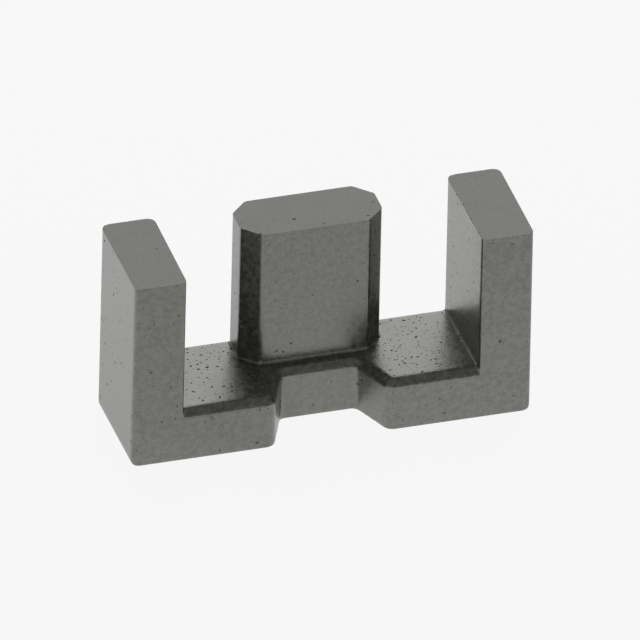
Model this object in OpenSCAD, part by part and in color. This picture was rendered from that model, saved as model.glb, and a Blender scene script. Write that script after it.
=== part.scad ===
// One half of a low-profile ferrite E core, pressed and sintered in one piece.
//
// It stands on the outer face of its back wall, with the pole faces up. The
// origin is on that outer face, at the middle of the overall length and depth.
// +X runs along the length, +Z up the legs, and the clip recess opens to -Y.
// The powder is pressed along Y, so the bevels, the recess flanks and the
// draft of the legs all follow from the two punch faces, front and rear.

/* [Outer legs] */
// Width of each outer leg, along the length of the core
leg_w = 1.975; // [1.2:0.005:3.5]
// Depth of the outer legs and of the back wall, front to rear
leg_d = 4.5; // [3.9:0.05:6.5]
// How much thicker each outer leg is at the rear than at the front, for the press
leg_draft = 0.05; // [0:0.01:0.2]
// Rounding of the upright edges at the front of the outer legs
leg_front_r = 0.15; // [0.05:0.01:0.4]
// Rounding of the upright edges at the rear of the outer legs
leg_rear_r = 0.3; // [0.05:0.01:0.55]
// Rounding of the two lower ends, where the outer legs turn into the back wall
end_r = 0.22; // [0.05:0.01:1]

/* [Winding windows] */
// Width of each winding window, from the centre pole to the outer leg
window_w = 2.855; // [1.8:0.005:5]
// Depth of the winding windows, from the pole faces to the back wall
window_h = 5.53; // [3:0.01:12]

/* [Centre pole] */
// Width of the centre pole, along the length of the core
pole_w = 5.34; // [4.2:0.01:9]
// Thickness of the centre pole, front to rear
pole_t = 2.34; // [1.7:0.01:2.9]
// How far the centre pole stands proud of the outer legs at the rear
pole_proud = 0.2; // [0.05:0.01:0.5]
// Bevel on the four upright edges of the centre pole
pole_bevel = 0.66; // [0.3:0.01:0.8]

/* [Back wall] */
// Thickness of the back wall
wall_t = 2.07; // [1.2:0.01:3.5]
// Bevel along the front edge of the window floors and round the recess
floor_bevel = 0.26; // [0.1:0.01:0.36]
// Bevel along the rear edge of the window floors
rear_bevel = 0.36; // [0.1:0.01:0.6]

/* [Clip recess] */
// Width of the recess at its floor
recess_w = 2.82; // [1.4:0.01:4]
// Strip of back wall left between the recess floor and the centre pole
recess_ledge = 0.65; // [0.5:0.01:1]
// Slope of the recess flanks, measured from the pressing direction
recess_slope = 23; // [10:1:35]
// Rounding of the recess mouth, at the top of the bevel
recess_mouth_r = 0.14; // [0.1:0.01:0.3]
// Rounding of the corners at the recess floor
recess_floor_r = 0.3; // [0.12:0.01:0.5]

/* [Hidden] */
$fn = 96;

// Overall sizes
core_len = pole_w + 2 * (window_w + leg_w);
core_d = leg_d + pole_proud;
core_h = wall_t + window_h;

// Planes square to Y, from the front face to the proud face of the pole
front_y = -core_d / 2;
leg_rear_y = front_y + leg_d;
pole_rear_y = core_d / 2;
pole_front_y = pole_rear_y - pole_t;
recess_y = pole_front_y - recess_ledge;

// Planes square to X
leg_out_x = core_len / 2;
leg_in_x = leg_out_x - leg_w;
leg_mid_x = leg_out_x - leg_w / 2;
mouth_x = recess_w / 2 + (recess_y - front_y) * tan(recess_slope);

run_out = 0.05; // how far a cutter runs past the surface that it leaves
arc_bite = 1.0001; // an arc is this much larger than the tangent one, so that it crosses both sides
mouth_r = recess_mouth_r + floor_bevel;

// Plan of the right outer leg, counter-clockwise from its inner front corner
leg_plan = [
    [leg_in_x + leg_draft / 2, front_y],
    [leg_out_x, front_y],
    [leg_out_x, leg_rear_y],
    [leg_in_x - leg_draft / 2, leg_rear_y]
];
leg_radii = [leg_front_r, leg_front_r, leg_rear_r, leg_rear_r];

// Plan of the back wall, counter-clockwise from its left end at the front
wall_plan = [
    [-leg_mid_x, front_y],
    [-mouth_x, front_y],
    [-recess_w / 2, recess_y],
    [recess_w / 2, recess_y],
    [mouth_x, front_y],
    [leg_mid_x, front_y],
    [leg_mid_x, leg_rear_y],
    [-leg_mid_x, leg_rear_y]
];
wall_radii = [0, mouth_r, recess_floor_r, recess_floor_r, mouth_r, 0, 0, 0];

// Plan of the centre pole, counter-clockwise from the left end of its front face
pole_plan = [
    [-pole_w / 2 + pole_bevel, pole_front_y],
    [pole_w / 2 - pole_bevel, pole_front_y],
    [pole_w / 2, pole_front_y + pole_bevel],
    [pole_w / 2, pole_rear_y - pole_bevel],
    [pole_w / 2 - pole_bevel, pole_rear_y],
    [-pole_w / 2 + pole_bevel, pole_rear_y],
    [-pole_w / 2, pole_rear_y - pole_bevel],
    [-pole_w / 2, pole_front_y + pole_bevel]
];

// --- Corners of an outline ------------------------------------------------

// Neighbour of point i, step places further round a closed outline
function around(points, i, step) = points[(i + step + len(points)) % len(points)];

// Direction from p to q, and the direction square to it on its left
function heading(p, q) = (q - p) / norm(q - p);
function left_of(u) = [-u.y, u.x];

// Angle that the outline turns through at point i, positive to the left
function turn(points, i) =
    let (u = heading(around(points, i, -1), points[i]), v = heading(points[i], around(points, i, 1)))
    atan2(cross(u, v), u * v);

// Distance from point i back to where an arc of radius r leaves the side
function setback(points, i, r) = r * tan(abs(turn(points, i)) / 2);

// Point where the arc at point i meets the side before it, and the side after it
function arc_start(points, i, r) =
    points[i] - setback(points, i, r) * heading(around(points, i, -1), points[i]);
function arc_end(points, i, r) =
    points[i] + setback(points, i, r) * heading(points[i], around(points, i, 1));
function arc_centre(points, i, r) =
    arc_start(points, i, r)
    + sign(turn(points, i)) * r * left_of(heading(around(points, i, -1), points[i]));

// Sliver between a sharp corner and the arc that rounds it
module corner_sliver(points, i, r) {
    centre = arc_centre(points, i, r);
    difference() {
        polygon([
            centre + 1.5 * (points[i] - centre),
            arc_start(points, i, r),
            centre,
            arc_end(points, i, r)
        ]);
        translate(centre) circle(arc_bite * r);
    }
}

// Closed outline with true arcs at its corners: a salient corner loses its
// sliver and a hollow one gains it
module rounded_outline(points, radii) {
    difference() {
        union() {
            polygon(points);
            for (i = [0:len(points) - 1])
                if (radii[i] > 0 && turn(points, i) < 0) corner_sliver(points, i, radii[i]);
        }
        for (i = [0:len(points) - 1])
            if (radii[i] > 0 && turn(points, i) > 0) corner_sliver(points, i, radii[i]);
    }
}

// --- Profiles carried along an outline --------------------------------------

// Carries a profile from p to q: its x points to the left and its y points up
module carry(p, q) {
    u = heading(p, q);
    translate([p.x, p.y, 0]) rotate([0, 0, atan2(u.y, u.x)]) rotate([90, 0, 90])
        linear_extrude(norm(q - p)) children();
}

// Section of the 45-degree cut that bevels the top edge of a wall of height h,
// in terms of the distance x inside the outline
module bevel_section(size, h) {
    polygon([[-run_out, h - size - run_out], [size + run_out, h + run_out], [-run_out, h + run_out]]);
}

// Bevel cut along the outline's sides from point i to point j, with a cone at
// each rounded corner between them. At a salient corner the straight cuts run
// on inside the cone's cut, and at a hollow one the cone runs on inside theirs,
// so no two cuts end on the same plane.
module bevel_cut(points, radii, i, j, size, h) {
    for (k = [i:j - 1]) {
        u = heading(points[k], points[k + 1]);
        carry(
            arc_end(points, k, radii[k]) - run_on(points, k, radii[k]) * u,
            arc_start(points, k + 1, radii[k + 1]) + run_on(points, k + 1, radii[k + 1]) * u
        ) bevel_section(size, h);
    }
    for (k = [i + 1:1:j - 1]) corner_cone(points, k, radii[k], size, h);
}

// How far a straight cut runs on past the start of the arc at point i
function run_on(points, i, r) = turn(points, i) > 0 ? r / 10 : 0;

// The same cut swept round one corner's arc
module corner_cone(points, i, r, size, h) {
    salient = turn(points, i) > 0;
    centre = arc_centre(points, i, r);
    spoke = (salient ? arc_start(points, i, r) : arc_end(points, i, r)) - centre;
    run_on_angle = salient ? 0 : 3;
    translate([centre.x, centre.y, 0])
        rotate([0, 0, atan2(spoke.y, spoke.x) - run_on_angle])
            rotate_extrude(angle = abs(turn(points, i)) + 2 * run_on_angle)
                translate([arc_bite * r, 0]) mirror([salient ? 1 : 0, 0]) bevel_section(size, h);
}

// --- The core ---------------------------------------------------------------

module outer_leg() {
    linear_extrude(core_h) rounded_outline(leg_plan, leg_radii);
}

module centre_pole() {
    linear_extrude(core_h) polygon(pole_plan);
}

module back_wall() {
    difference() {
        linear_extrude(wall_t) rounded_outline(wall_plan, wall_radii);
        bevel_cut(wall_plan, wall_radii, 0, 5, floor_bevel, wall_t);
        bevel_cut(wall_plan, wall_radii, 6, 7, rear_bevel, wall_t);
    }
}

// Outline of the pressing die, seen along Y: the lower ends are rounded
module die_outline() {
    top = core_h + 1;
    rounded_outline(
        [[-leg_out_x, 0], [leg_out_x, 0], [leg_out_x, top], [-leg_out_x, top]],
        [end_r, end_r, 0, 0]
    );
}

module core() {
    color([0.26, 0.26, 0.25]) intersection() {
        union() {
            back_wall();
            centre_pole();
            outer_leg();
            mirror([1, 0, 0]) outer_leg();
        }
        translate([0, core_d, 0]) rotate([90, 0, 0]) linear_extrude(2 * core_d) die_outline();
    }
}

core();
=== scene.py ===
# %% [markdown]
# # A ferrite E core, pressed and sintered in one piece
#
# The object is one half of a low-profile E core: a back wall lying flat, two outer
# legs and a thinner, bevelled centre pole standing on it, and a recess in front for
# the spring clip. It is one hard grey-black ceramic solid, so there is nothing to
# join: the work is all in its edges, its pores and the way it takes the light.
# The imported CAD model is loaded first, and everything else is fitted to it.

import bmesh
import bpy
import numpy as np
from mathutils import Matrix, Vector


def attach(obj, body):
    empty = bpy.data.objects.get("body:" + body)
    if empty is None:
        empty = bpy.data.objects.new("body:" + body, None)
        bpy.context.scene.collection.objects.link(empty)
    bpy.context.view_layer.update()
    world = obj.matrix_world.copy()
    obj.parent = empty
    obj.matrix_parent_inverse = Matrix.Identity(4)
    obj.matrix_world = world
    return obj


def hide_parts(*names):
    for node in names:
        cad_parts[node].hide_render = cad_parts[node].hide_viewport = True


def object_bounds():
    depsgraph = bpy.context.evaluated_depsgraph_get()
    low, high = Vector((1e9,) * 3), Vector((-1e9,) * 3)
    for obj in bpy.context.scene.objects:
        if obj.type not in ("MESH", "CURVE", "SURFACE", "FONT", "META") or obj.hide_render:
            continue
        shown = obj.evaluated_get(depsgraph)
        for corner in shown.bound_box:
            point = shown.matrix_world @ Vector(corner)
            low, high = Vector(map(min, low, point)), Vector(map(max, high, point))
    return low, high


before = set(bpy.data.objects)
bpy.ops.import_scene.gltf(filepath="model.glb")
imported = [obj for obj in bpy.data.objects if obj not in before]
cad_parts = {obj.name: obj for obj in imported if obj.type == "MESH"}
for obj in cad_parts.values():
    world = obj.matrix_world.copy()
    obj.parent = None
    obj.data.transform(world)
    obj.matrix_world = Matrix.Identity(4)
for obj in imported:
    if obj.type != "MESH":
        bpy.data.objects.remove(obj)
cad_box = [[float(c) for c in corner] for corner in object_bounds()]
low, high = np.array(cad_box)
mm = 0.001
print("core, mm:", np.round((high - low) / mm, 3))

# %% [markdown]
# # The camera
#
# A small part is best shown from far away through a long lens, so that its upright
# edges stay parallel. An orthographic camera is the far end of that: no edge leans.
# Its three axes come from two angles, the swing round the core and the height above
# the table, and a small roll. The width of the view is set in real millimetres.

# %% Aim the camera
swing, height, roll = np.radians([-17.25, 32.80, 1.34])
away, view_width = 150, 23.08
toward = np.array([np.sin(swing) * np.cos(height), -np.cos(swing) * np.cos(height), np.sin(height)])
level = np.cross([0, 0, 1], toward)
level /= np.linalg.norm(level)
up = np.cross(toward, level)
right = np.cos(roll) * level + np.sin(roll) * up
top = np.cos(roll) * up - np.sin(roll) * level
middle, shift_right, shift_up = np.array([0, -0.1, 3.5]), 0.174, 0.1725
aim = middle + shift_right * right + shift_up * top

lens = bpy.data.cameras.new("camera")
lens.type = "ORTHO"
lens.ortho_scale = view_width * mm
lens.clip_start, lens.clip_end = 0.001, 10
camera = bpy.data.objects.new("camera", lens)
turn = Matrix(np.column_stack([right, top, toward]).tolist()).to_4x4()
camera.matrix_world = Matrix.Translation(Vector((aim + away * toward) * mm)) @ turn
bpy.context.scene.collection.objects.link(camera)
bpy.context.scene.camera = camera
print("camera stands at, mm:", np.round(aim + away * toward, 1))

# %% [markdown]
# # The blank
#
# The core leaves the die as one block with all its forms on it, and the CAD solid is
# just that block. Its mesh is kept as it is, and the work is done on a copy. The copy
# arrives as loose triangles, so their shared corners are merged. It is worked on in
# millimetres, because Blender's tools lose their grip on details of a few microns
# when a metre is the unit, and it is brought back to metres at the very end.

# %% Copy the solid in millimetres
same_spot = 0.0005


def joined_copy(source):
    """The same surface a thousand times larger, with its shared corners merged."""
    work = bmesh.new()
    work.from_mesh(source)
    work.transform(Matrix.Scale(1 / mm, 4))
    bmesh.ops.remove_doubles(work, verts=work.verts, dist=same_spot)
    mesh = bpy.data.meshes.new("ferrite_core")
    work.to_mesh(mesh)
    work.free()
    return mesh


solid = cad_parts["core"]
blank = bpy.data.objects.new("ferrite_core", joined_copy(solid.data))
bpy.context.scene.collection.objects.link(blank)
print("corners:", len(solid.data.vertices), "->", len(blank.data.vertices))

# %% [markdown]
# # Turning a modifier into mesh
#
# Each step below needs the real faces that the one before it made. Blender works out
# the finished mesh of an object on request, and that mesh takes the old one's place.

# %% Settle the modifiers of a piece
def settle(piece):
    """Puts the mesh that the modifiers give into the piece, and drops the modifiers."""
    graph = bpy.context.evaluated_depsgraph_get()
    mesh = bpy.data.meshes.new_from_object(piece.evaluated_get(graph))
    piece.modifiers.clear()
    piece.data = mesh
    return len(mesh.polygons)


def points_of(mesh):
    """Every corner of a mesh as one array of shape (count, 3)."""
    points = np.empty(len(mesh.vertices) * 3, np.float32)
    mesh.vertices.foreach_get("co", points)
    return points.reshape(-1, 3).astype(float)


# %% [markdown]
# # The edges
#
# No edge of a pressed part is a knife edge: the die leaves a small round in the hollow
# corners, and tumbling after the kiln takes the sharpness off the outer ones. A bevel
# would need a clear strip beside every edge, and here some edges run out to nothing
# where a leg meets the long bevel. So the block is recast as an even net of small
# squares, and the net is relaxed: a corner that stands out of its neighbours' middle
# sinks, one that lies in a hollow rises a very little, and one on a flat face stays
# where it is. The hollow corners are all but sharp on the core, so they keep nearly
# their full depth. The poles are left a little too long for now, as on the real part.

# %% Recast the block with its grinding allowance
crown = float(high[2] / mm)
allowance, net_width, near = 0.25, 0.045, 0.01
points = points_of(blank.data)
points[:, 2] += allowance * (points[:, 2] > crown - near)
blank.data.vertices.foreach_set("co", points.astype(np.float32).ravel())
recast = blank.modifiers.new("recast", "REMESH")
recast.mode, recast.voxel_size = "VOXEL", net_width
print("squares in the net:", settle(blank))


# %% Relax the edges
rub_rounds, outer_ease, hollow_ease = 10, 0.5, 0.02


def relax(mesh, rounds, outer, hollow):
    """Moves each corner part of the way to the middle of its neighbours, several times
    over: p <- p + ease (sum of neighbours / their number - p). The ease is `outer`
    where that step goes into the body and `hollow` where it goes out of it."""
    p = start = points_of(mesh)
    outward = np.empty(len(p) * 3, np.float32)
    mesh.vertices.foreach_get("normal", outward)
    outward = outward.reshape(-1, 3)
    ends = np.empty(len(mesh.edges) * 2, np.int32)
    mesh.edges.foreach_get("vertices", ends)
    a, b = ends.reshape(-1, 2).T
    number = np.bincount(ends, minlength=len(p))[:, None]
    for _ in range(rounds):
        total = [np.bincount(a, p[b, k], len(p)) + np.bincount(b, p[a, k], len(p))
                 for k in range(3)]
        step = np.stack(total, 1) / number - p
        rises = (step * outward).sum(1, keepdims=True) > 0
        p = p + np.where(rises, hollow, outer) * step
    mesh.vertices.foreach_set("co", p.astype(np.float32).ravel())
    return float(np.linalg.norm(p - start, axis=1).max())


rub = relax(blank.data, rub_rounds, outer_ease, hollow_ease)
print("deepest rub, mm:", round(rub, 4))

# %% [markdown]
# # Fewer faces where nothing happens
#
# The even net spends most of its squares on flat faces. The Decimate modifier merges
# them there first, since that costs no shape, and leaves the rounds alone.

# %% Thin the net
thin = blank.modifiers.new("thin", "DECIMATE")
faces_kept = 0.12
thin.ratio = faces_kept
print("faces left:", settle(blank))

# %% [markdown]
# # Grinding the pole faces
#
# The pole faces are ground flat and to length last of all, so that two halves meet
# without a gap. That is why their rims are crisp while every other edge is soft. Here
# too a plane takes off the allowance, and the three openings that it leaves are closed.

# %% Grind the poles to length
ground_off = bmesh.new()
ground_off.from_mesh(blank.data)
everything = ground_off.verts[:] + ground_off.edges[:] + ground_off.faces[:]
wheel = {"plane_co": (0, 0, crown), "plane_no": (0, 0, 1), "clear_outer": True}
bmesh.ops.bisect_plane(ground_off, geom=everything, **wheel)
rims = [edge for edge in ground_off.edges if edge.is_boundary]
lids = bmesh.ops.holes_fill(ground_off, edges=rims)["faces"]
bmesh.ops.triangulate(ground_off, faces=lids)
ground_off.to_mesh(blank.data)
ground_off.free()
print("pole faces closed:", len(lids))

# %% [markdown]
# # The pores
#
# Ferrite powder is pressed as small round granules, and where they have not quite
# closed up, a pore is left at the surface. The floors of the winding windows lie
# along the side of the die, are pressed the least, and show the most pores. Each
# pore is a small egg-shaped hollow: a unit ball drawn on a grid of two angles,
# stretched, turned about the face normal and sunk a little less than halfway into the
# face. All the pores are worked out at once, as one array, and cut in one step.

# %% Make a field of egg shapes
rng = np.random.default_rng(15)
around, rings = 8, 5


def ball_faces(count):
    """Corner numbers of the quads of `count` balls: each ring joins the next."""
    row, col = np.divmod(np.arange((rings - 1) * around), around)
    quad = np.stack([row * around + col, row * around + (col + 1) % around,
                     (row + 1) * around + (col + 1) % around, (row + 1) * around + col], 1)
    return (quad[None] + (np.arange(count) * rings * around)[:, None, None]).reshape(-1, 4)


def eggs(centre, normal, long_way, size):
    """Points of many eggs: centre + a cos u sin v + b sin u sin v + n cos v, with u
    round the egg and v down it, and size the three half-axes of each egg in mm."""
    side = np.cross(normal, long_way)
    u = np.arange(around) * 2 * np.pi / around
    v = (np.arange(rings) + 0.5) / rings * np.pi
    u, v = np.meshgrid(u, v)
    ball = np.stack([np.cos(u) * np.sin(v), np.sin(u) * np.sin(v), np.cos(v)], -1).reshape(-1, 3)
    axes = np.stack([long_way, side, normal], 1) * size[:, :, None]
    return centre[:, None] + ball @ axes


print("faces of one egg:", (rings - 1) * around + 2)

# %% [markdown]
# # Where the pores lie
#
# A pore can be anywhere on a face, so points are drawn evenly over the surface: a
# triangle is picked by its area, times how many pores a square millimetre of its
# face has, and a point inside it by two random numbers. The floors are found by
# their height and by facing up. Most pores are small and a few are large, which is
# what the logarithm of a normal draw gives. A pore that would run into an earlier one
# is left out. The centres are lifted a little, so that the hollows are shallow.

# %% Draw the pores
floor_z = 2.07
pores_on_floor, pores_on_ground, pores_elsewhere = 17.0, 0.35, 1.7
pore_log, pore_spread, pore_range = -3.45, 0.38, (0.014, 0.062)
clearance, lift = 1.15, 0.2


def triangles(mesh):
    """Corners of every triangle as an array of shape (count, 3, 3)."""
    mesh.calc_loop_triangles()
    corners = np.empty(len(mesh.loop_triangles) * 3, np.int32)
    mesh.loop_triangles.foreach_get("vertices", corners)
    return points_of(mesh)[corners].reshape(-1, 3, 3)


def scatter(tri, per_mm2):
    """Points and normals spread over triangles: p = a + r(b - a) + s(c - a), r + s < 1."""
    cross = np.cross(tri[:, 1] - tri[:, 0], tri[:, 2] - tri[:, 0])
    area = np.linalg.norm(cross, axis=1) / 2
    expected = area * per_mm2
    count = rng.poisson(expected.sum())
    pick = rng.choice(len(tri), count, p=expected / expected.sum())
    r, s = rng.random((2, count, 1))
    fold = r + s > 1
    r, s = np.where(fold, 1 - r, r), np.where(fold, 1 - s, s)
    a, b, c = tri[pick].transpose(1, 0, 2)
    return a + r * (b - a) + s * (c - a), cross[pick] / (2 * area[pick, None])


def apart(centre, reach):
    """True for each point that stays clear of every earlier one by their two reaches."""
    gap = np.linalg.norm(centre[:, None] - centre[None], axis=2) - reach[:, None] - reach[None]
    return ~np.tril(gap < 0, -1).any(1)


tri = triangles(solid.data) / mm
facing_up = np.cross(tri[:, 1] - tri[:, 0], tri[:, 2] - tri[:, 0])[:, 2] > 0
on_floor = facing_up & (np.abs(tri[:, :, 2] - floor_z) < near).all(1)
on_ground = facing_up & (tri[:, :, 2] > crown - near).all(1)
per_mm2 = np.where(on_ground, pores_on_ground, pores_elsewhere)
per_mm2 = np.where(on_floor, pores_on_floor, per_mm2)
centre, normal = scatter(tri, per_mm2)
half = rng.lognormal(pore_log, pore_spread, len(centre)).clip(*pore_range)
size = half[:, None] * rng.uniform([1.0, 0.6, 0.6], [1.5, 1.0, 0.9], (len(centre), 3))
keep = apart(centre, size[:, :2].max(1) * clearance)
centre, normal, size = centre[keep], normal[keep], size[keep]
centre = centre + normal * size[:, 2:] * lift
print("pores:", len(centre), "mean width, mm:", round(float(size[:, 0].mean() * 2), 3))

# %% [markdown]
# # Chips along the ground rims
#
# Grinding breaks tiny grains out of a crisp ceramic edge. The only corners that lie
# in the ground plane are those of the rims, a net width apart, so a chip is put on
# every few of them. Chips are small eggs too, and are cut in the same step.

# %% Draw the chips
chip_share, chip_log, chip_spread, chip_range = 0.30, -3.95, 0.35, (0.010, 0.035)
corners = points_of(blank.data)
rim = corners[corners[:, 2] > crown - same_spot]
rim = rim[rng.random(len(rim)) < chip_share]
grit = rng.lognormal(chip_log, chip_spread, len(rim)).clip(*chip_range)
grit = grit[:, None] * rng.uniform([1.0, 0.6, 0.6], [1.8, 1.0, 1.0], (len(rim), 3))
centre = np.concatenate([centre, rim])
normal = np.concatenate([normal, np.tile([0.0, 0.0, 1.0], (len(rim), 1))])
size = np.concatenate([size, grit])
keep = apart(centre, size[:, :2].max(1) * clearance)
centre, normal, size = centre[keep], normal[keep], size[keep]
print("pores and chips:", len(centre))

# %% [markdown]
# # Cutting the pores
#
# The long way of each egg lies in its face, turned at random. The eggs become one
# mesh of closed shells, and a Boolean modifier takes them all from the block at once.

# %% Cut the pores out of the block
unevenness = 0.12


def across(normal):
    """A unit direction in each face, turned at random: any vector less its part along
    the normal, brought to length one."""
    any_way = rng.normal(size=normal.shape)
    flat = any_way - (any_way * normal).sum(1, keepdims=True) * normal
    return flat / np.linalg.norm(flat, axis=1, keepdims=True)


def shells(name, centre, normal, size):
    """One mesh object of closed eggs, their surface made a little uneven."""
    points = eggs(centre, normal, across(normal), size)
    shake = rng.normal(0, unevenness, points.shape[:2])
    points += (points - centre[:, None]) * shake[:, :, None]
    count = len(centre)
    start = (np.arange(count) * rings * around)[:, None]
    top_cap = start + np.arange(around)
    low_cap = start + (rings - 1) * around + np.arange(around)[::-1]
    faces = ball_faces(count)[:, ::-1].tolist() + top_cap.tolist() + low_cap.tolist()
    mesh = bpy.data.meshes.new(name)
    mesh.from_pydata(points.reshape(-1, 3), [], faces)
    piece = bpy.data.objects.new(name, mesh)
    bpy.context.scene.collection.objects.link(piece)
    return piece


def cut(piece, tool):
    """Takes the tool's shells out of the piece and throws the tool away."""
    knife = piece.modifiers.new("cut", "BOOLEAN")
    knife.operation, knife.solver, knife.object = "DIFFERENCE", "MANIFOLD", tool
    faces = settle(piece)
    bpy.data.objects.remove(tool)
    return faces


print("faces with pores:", cut(blank, shells("pore_tool", centre, normal, size)))

# %% [markdown]
# # Back to metres
#
# The finished mesh is brought back to metres and kept within the box of the CAD solid
# to the last digit. Its normals are weighed by face area, so that the large flat faces
# stay flat in the light and only the rounds turn. A fold of more than 35 degrees is
# kept as a crease, and so is a hollow one of more than 8, because the hollow corners
# of the core are as good as sharp.

# %% Bring the core back to metres and weigh its normals
outer_fold, hollow_fold = np.radians([35, -8])
points = np.clip(points_of(blank.data) * mm, low, high)
blank.data.vertices.foreach_set("co", points.astype(np.float32).ravel())
work = bmesh.new()
work.from_mesh(blank.data)
fold = np.array([edge.calc_face_angle_signed(0) for edge in work.edges])
work.free()
crease = blank.data.attributes.new("sharp_edge", "BOOLEAN", "EDGE")
crease.data.foreach_set("value", (fold > outer_fold) | (fold < hollow_fold))
blank.data.polygons.foreach_set("use_smooth", np.ones(len(blank.data.polygons), bool))
evened = blank.modifiers.new("evened", "WEIGHTED_NORMAL")
evened.mode, evened.weight, evened.keep_sharp = "FACE_AREA", 100, True
blank.data.calc_loop_triangles()
print("triangles:", len(blank.data.loop_triangles))

# %% [markdown]
# # Shader maths
#
# A pattern in a material is arithmetic on sockets. One small class holds a socket and
# gives it the ordinary signs, so `1 - mask` or `grain * 0.3` adds the Math node that
# it says. Every other node is made by one method.

# %% A socket that can be reckoned with
class Wire:
    """An output socket. Adding, taking away and multiplying make Math nodes."""

    def __init__(self, socket):
        self.socket = socket

    @staticmethod
    def node(tree, kind, settings=None, out=0, **values):
        """Makes a node, sets its settings, then gives each input a value or a link. An
        underscore in an input's name stands for a space, and `_2` is input number 2."""
        made = tree.nodes.new(kind)
        for name, value in (settings or {}).items():
            setattr(made, name, value)
        for name, value in values.items():
            by_number = name[1:].isdigit()
            at = made.inputs[int(name[1:]) if by_number else name.replace("_", " ")]
            if isinstance(value, Wire):
                tree.links.new(value.socket, at)
            else:
                at.default_value = value
        return Wire(made.outputs[out]) if made.outputs else made

    def maths(self, operation, first, second, clamp=False):
        settings = {"operation": operation, "use_clamp": clamp}
        return Wire.node(self.socket.id_data, "ShaderNodeMath", settings, _0=first, _1=second)

    def __add__(self, other):
        return self.maths("ADD", self, other)

    def __sub__(self, other):
        return self.maths("SUBTRACT", self, other)

    def __rsub__(self, other):
        return self.maths("SUBTRACT", other, self)

    def __mul__(self, other):
        return self.maths("MULTIPLY", self, other)

    def ramp(self, start, end):
        """0 at start, 1 at end and straight between them, held at both ends."""
        return self.maths("MULTIPLY", self - start, 1 / (end - start), clamp=True)

    __radd__, __rmul__ = __add__, __mul__


# %% [markdown]
# # The finish of sintered ferrite
#
# Sintered ferrite is a dark grey ceramic with a dull sheen. Most of what is seen is
# light thrown back by the surface itself, and it is dense and heavy with metal oxides,
# so it throws back far more than glass or plastic: an IOR of 2.6. A thin coat, rougher
# than what lies under it, stands for the skin that the kiln leaves, and spreads the
# sheen. Cloudy patches lean toward olive or plum, pale specks lie in them, and the
# powder grain breaks the surface up at a few hundredths of a millimetre, so there is a
# fine bump. The sheen varies with the grain as well: a metal of a dark colour throws
# back only that colour, so a part of Metallic dulls the sheen between the pale grains.
# The pole faces are ground, which leaves them matt.

# %% Mix the ferrite
ferrite = bpy.data.materials.new("ferrite")
ferrite.use_nodes = True
tree = ferrite.node_tree
tree.nodes.clear()

place = Wire.node(tree, "ShaderNodeTexCoord", out=3)
place = Wire.node(tree, "ShaderNodeMapping", Vector=place, Scale=(1000, 1000, 1000))
upward = Wire.node(tree, "ShaderNodeSeparateXYZ", Vector=place, out=2)


def grain(scale, detail):
    """A soft noise with `scale` lumps to the millimetre, from 0 to 1."""
    return Wire.node(tree, "ShaderNodeTexNoise", Vector=place, Scale=scale, Detail=detail)


def blend(factor, first, second):
    """Goes from the first colour to the second as the factor goes from 0 to 1."""
    settings = {"data_type": "RGBA", "clamp_factor": True}
    return Wire.node(tree, "ShaderNodeMix", settings, out=2, _0=factor, _6=first, _7=second)


cloud, speck, powder = grain(1.1, 3), grain(5.0, 4), grain(14.0, 3)
patches = cloud.ramp(0.35, 0.65)
ground = upward.ramp(crown - 0.02, crown - 0.005)

grey, pale = (0.022, 0.022, 0.017, 1), (0.125, 0.122, 0.104, 1)
olive, plum = (0.028, 0.030, 0.012, 1), (0.034, 0.021, 0.024, 1)
colour = blend(patches, olive, plum)
colour = blend(0.40, colour, grey)
colour = blend(speck.ramp(0.42, 0.72) * 0.7 + powder.ramp(0.45, 0.75) * 0.5, colour, pale)

rough = 0.25 + speck.ramp(0.35, 0.65) * 0.10 + powder.ramp(0.3, 0.7) * 0.08 + ground * 0.22
dull = (1 - speck.ramp(0.38, 0.58)) * 0.12 + (1 - powder.ramp(0.35, 0.55)) * 0.14
dull = dull + patches * 0.05
bumps = powder * 0.45 + speck * 0.55
bump_height = 0.014 * mm
normal = Wire.node(tree, "ShaderNodeBump", Strength=0.8, Distance=bump_height, Height=bumps)
surface = Wire.node(
    tree, "ShaderNodeBsdfPrincipled", Base_Color=colour, Roughness=rough, Metallic=dull,
    Normal=normal, IOR=2.6, Specular_Tint=(0.99, 1.0, 0.95, 1),
    Coat_Weight=0.4, Coat_Roughness=0.3, Coat_IOR=1.5,
)
Wire.node(tree, "ShaderNodeOutputMaterial", Surface=surface)
blank.data.materials.clear()
blank.data.materials.append(ferrite)
print("ferrite nodes:", len(tree.nodes))

# %% [markdown]
# # The studio
#
# The core stands on a white table. A wide soft light hangs behind it and to the
# right, high enough to gleam in the window floors. The sweep behind the table is
# white, and the room above is dim, so that the bevels that face it stay dark. To the
# camera the table is nine parts plain white and one part paper that takes the core's
# shadow. In the sheen of the core it is white too, with a painted falloff of light:
# painted shade makes it dimmer in front of the core than behind it. All other
# light finds the paper alone.

# %% Lay the table
floor_size = 2.0
floor_mesh = bpy.data.meshes.new("table")
corner = np.array([[-1, -1, 0], [1, -1, 0], [1, 1, 0], [-1, 1, 0]]) * floor_size / 2
floor_mesh.from_pydata(corner, [], [[0, 1, 2, 3]])
floor = bpy.data.objects.new("table", floor_mesh)
bpy.context.scene.collection.objects.link(floor)

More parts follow.
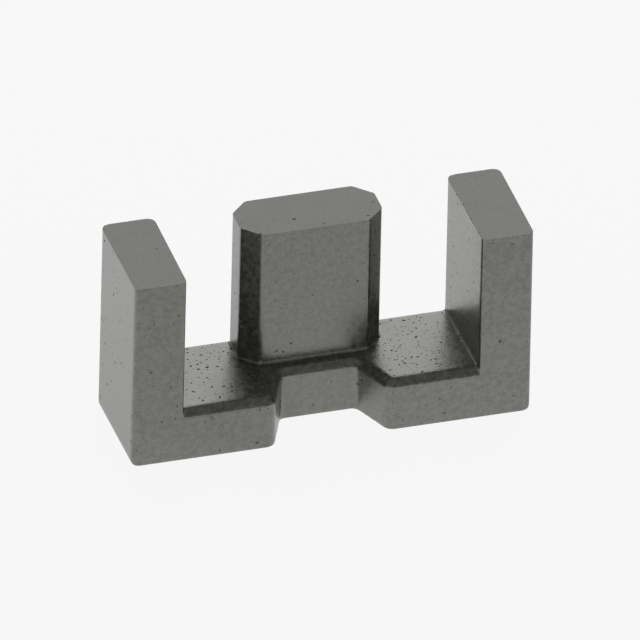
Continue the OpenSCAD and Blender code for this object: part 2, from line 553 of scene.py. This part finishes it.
white = bpy.data.materials.new("table_white")
white.use_nodes = True
tree = white.node_tree
tree.nodes.clear()
seen = Wire.node(tree, "ShaderNodeLightPath", out=0)
mirrored = Wire.node(tree, "ShaderNodeLightPath", out=3)
paper = Wire.node(tree, "ShaderNodeBsdfDiffuse", Color=(0.90, 0.90, 0.90, 1))
bright = Wire.node(tree, "ShaderNodeEmission", Color=(1, 1, 1, 1), Strength=1.0)
# Painted shade: in the core's sheen the table's emission is painted dimmer toward the front. It
# goes from the dimmest value at dim_until to white at white_from, and stands in for light that
# falls off toward the front.
dim_until, white_from, dimmest = -0.02, 0.01, 0.74
depth = Wire.node(tree, "ShaderNodeTexCoord", out=3)
depth = Wire.node(tree, "ShaderNodeSeparateXYZ", Vector=depth, out=1)
shade = dimmest + depth.ramp(dim_until, white_from) * (1 - dimmest)
painted_falloff = Wire.node(tree, "ShaderNodeEmission", Color=shade, Strength=1.0)
glow = Wire.node(tree, "ShaderNodeMixShader", _0=mirrored, _1=bright, _2=painted_falloff)
shown = Wire.node(tree, "ShaderNodeMixShader", _0=seen * 0.9 + mirrored, _1=paper, _2=glow)
Wire.node(tree, "ShaderNodeOutputMaterial", Surface=shown)
floor_mesh.materials.append(white)

# %% Light the room
world = bpy.data.worlds.new("room")
bpy.context.scene.world = world
world.use_nodes = True
tree = world.node_tree
tree.nodes.clear()
seen = Wire.node(tree, "ShaderNodeLightPath", out=0)
above = Wire.node(tree, "ShaderNodeTexCoord", out=0)
above = Wire.node(tree, "ShaderNodeSeparateXYZ", Vector=above, out=2)
sweep_top, dim_from, dimmed_by = 0.05, 0.35, 0.80
shade = 1 - above.ramp(sweep_top, dim_from) * dimmed_by
room = Wire.node(tree, "ShaderNodeBackground", Color=shade, Strength=1.0)
sky = Wire.node(tree, "ShaderNodeBackground", Color=(1, 1, 1, 1), Strength=1.0)
shown = Wire.node(tree, "ShaderNodeMixShader", _0=seen, _1=room, _2=sky)
Wire.node(tree, "ShaderNodeOutputWorld", Surface=shown)


def soft_light(name, way, distance, size, radiance):
    """A square lamp that faces the core from the given direction. Its power is its
    radiance times pi times its area, so the radiance is what a mirror would show."""
    lamp = bpy.data.lights.new(name, "AREA")
    lamp.shape, lamp.size = "SQUARE", size * mm
    lamp.energy = radiance * np.pi * (size * mm) ** 2
    way = Vector(way).normalized()
    facing = way.to_track_quat("Z", "Y").to_matrix().to_4x4()
    piece = bpy.data.objects.new(name, lamp)
    piece.matrix_world = Matrix.Translation(way * distance * mm) @ facing
    bpy.context.scene.collection.objects.link(piece)
    return lamp


back_light = soft_light("back_softbox", (0.30, 0.80, 0.55), 200, 160, 1.28)
print("back lamp, W:", round(back_light.energy, 4))

# %% Hand the core over
bpy.context.scene.view_settings.view_transform = "Standard"
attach(blank, "root")
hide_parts("core")
